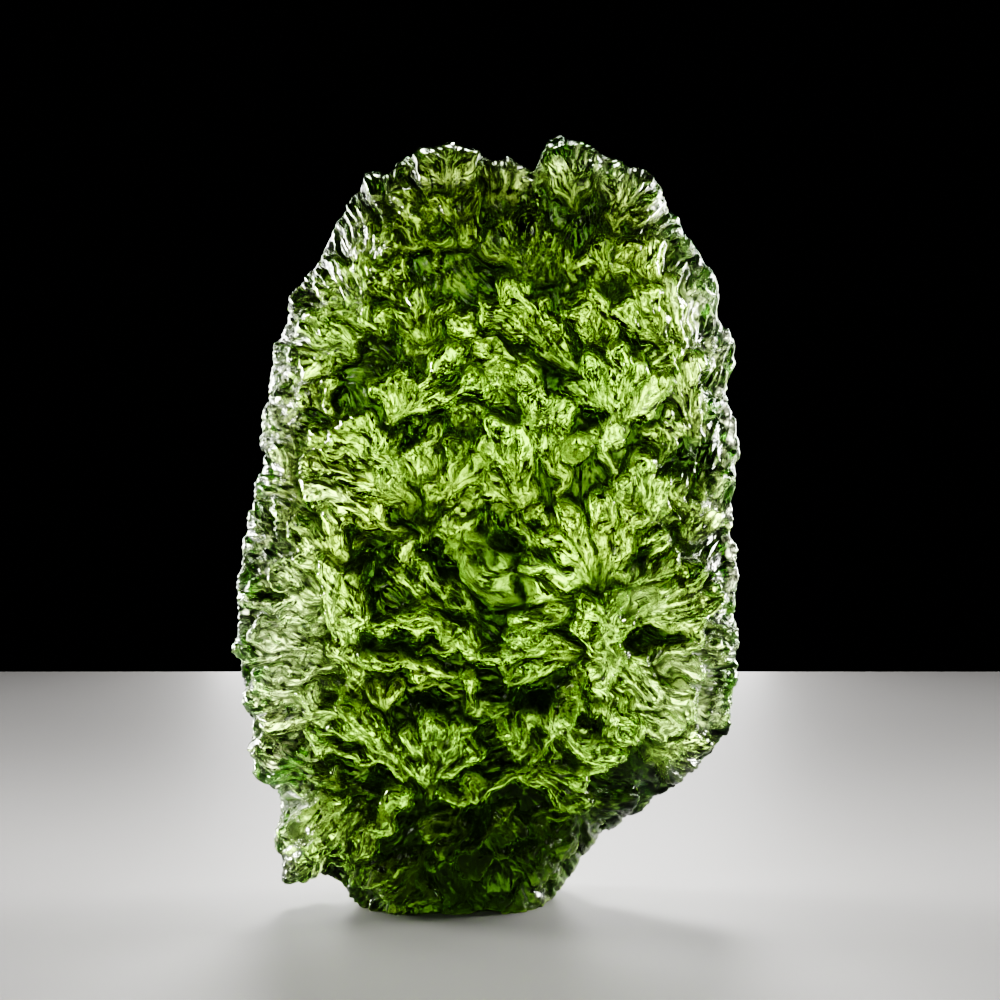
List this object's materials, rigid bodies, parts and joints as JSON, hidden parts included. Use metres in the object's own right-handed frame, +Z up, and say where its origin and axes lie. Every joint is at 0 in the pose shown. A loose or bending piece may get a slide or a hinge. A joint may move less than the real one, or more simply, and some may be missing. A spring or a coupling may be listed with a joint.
{
  "type": "moldavite",
  "caption": "Natural moldavite: a flattened upright piece of green glass, deeply etched into fern-like ridges, furrows and pits, standing on a small flat spot.",
  "frame": {"origin": "middle of the stone's bounding box at ground level, the height of the flat spot it stands on", "axes": "+Z up along the stone's length, +X across its breadth, +Y through its thickness; the face seen in the picture looks along -Y"},
  "size_m": [0.026, 0.0104, 0.04],
  "materials": {
    "moldavite_glass": "clear bottle-green natural glass, glossy and etched into ridges, paler at the thin rim"
  },
  "bodies": {
    "root": {"moldavite": "moldavite_glass"}
  },
  "joints": []
}
